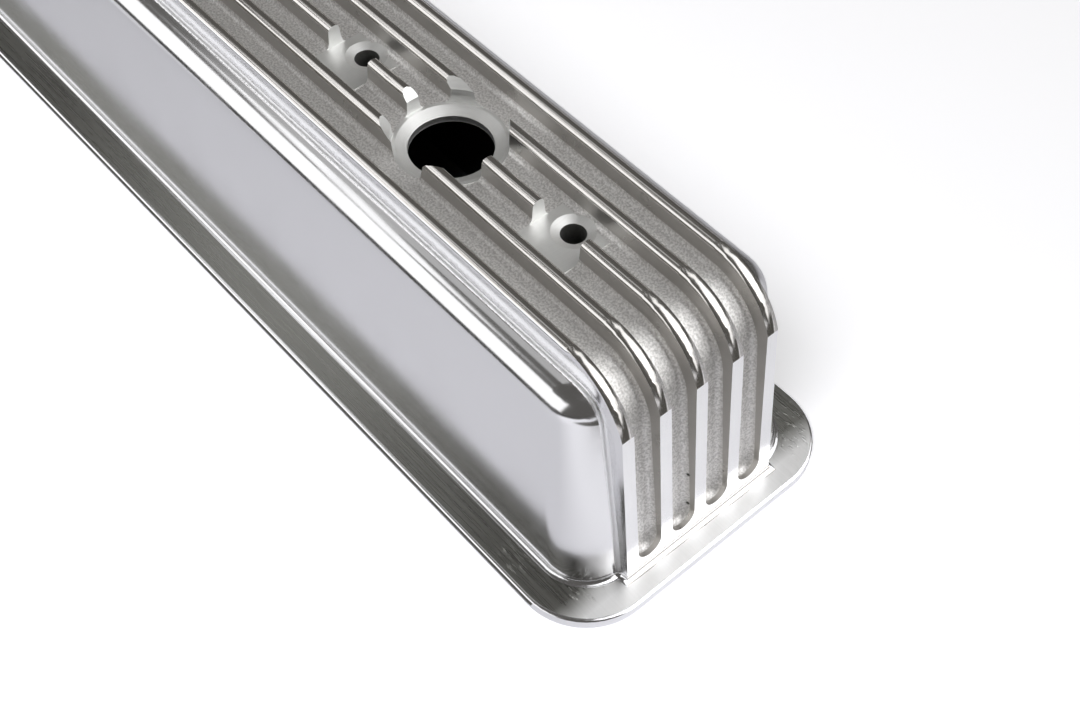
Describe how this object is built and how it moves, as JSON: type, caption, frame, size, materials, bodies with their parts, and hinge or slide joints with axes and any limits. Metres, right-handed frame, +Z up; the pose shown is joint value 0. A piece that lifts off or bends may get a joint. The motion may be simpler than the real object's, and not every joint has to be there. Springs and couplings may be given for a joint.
{
  "type": "engine valve cover",
  "caption": "Long finned cast aluminium engine valve cover with a flat rail, a row of dished bolt holes and one round breather hole.",
  "frame": {"origin": "middle of the cover's length and width, at the level of the sealing face under the rail", "axes": "+X along the cover towards the end nearest the breather hole, +Y across it towards the side the bolt row is offset to, +Z up out of the sealing face"},
  "size_m": [0.5, 0.128, 0.099],
  "materials": {
    "cast_aluminium": "polished"
  },
  "bodies": {
    "root": {"valve_cover": "cast_aluminium"}
  },
  "joints": []
}
